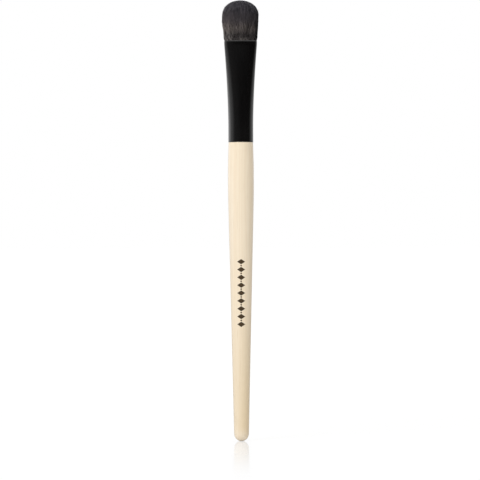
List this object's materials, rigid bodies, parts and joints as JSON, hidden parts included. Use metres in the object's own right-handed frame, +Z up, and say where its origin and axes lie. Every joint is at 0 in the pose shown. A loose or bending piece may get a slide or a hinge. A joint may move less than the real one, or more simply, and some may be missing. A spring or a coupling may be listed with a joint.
{
  "type": "eyeshadow brush",
  "caption": "Flat eyeshadow brush with a domed dark tuft, a black flattened ferrule and a slim turned pale wooden handle.",
  "frame": {"origin": "on the handle's axis at the lowest point of its rounded tail", "axes": "+Z up along the handle towards the bristles, +X across the flat of the tuft, +Y through its thickness, away from the viewer"},
  "size_m": [0.0134, 0.0096, 0.165],
  "materials": {
    "pale_wood": "satin",
    "black_metal": "gloss",
    "glue": "gloss",
    "resin": "gloss",
    "thread": "matte",
    "bristle": "satin"
  },
  "bodies": {
    "root": {"handle": "pale_wood", "ferrule": "black_metal", "ferrule_glue": "glue", "root_resin": "resin", "binding_thread": "thread", "bristle_tuft": "bristle"}
  },
  "joints": []
}
